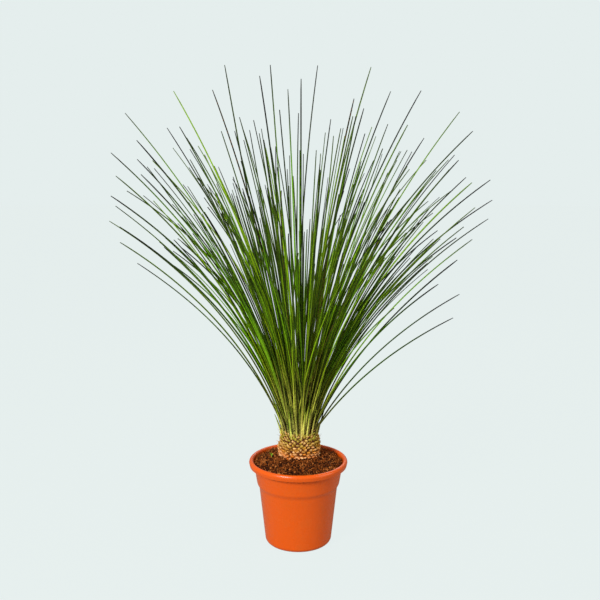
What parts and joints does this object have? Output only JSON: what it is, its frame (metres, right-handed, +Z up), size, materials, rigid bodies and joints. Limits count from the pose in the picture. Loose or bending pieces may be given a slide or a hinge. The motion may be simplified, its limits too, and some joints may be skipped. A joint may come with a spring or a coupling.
{
  "type": "potted grass tree",
  "caption": "Potted Mexican grass tree: a dense rosette of long, thin, arching leaves on a short knobbed trunk, in a round plastic nursery pot with a rolled rim.",
  "frame": {"origin": "centre of the pot's underside, on the surface that it stands on", "axes": "+Z up along the plant; -Y towards the side that is usually shown; +X to that side's right"},
  "size_m": [0.6312, 0.5807, 0.8083],
  "materials": {
    "pot_plastic": "satin moulded terracotta-coloured plastic",
    "potting_mix": "dry, rough red-brown coir and bark",
    "trunk_stubs": "dry cut leaf bases, cream and brown",
    "leaf": "tough, slightly waxy green leaf"
  },
  "bodies": {
    "root": {"pot": "pot_plastic", "soil": "potting_mix", "trunk": "trunk_stubs", "leaf_head": "leaf"}
  },
  "joints": []
}
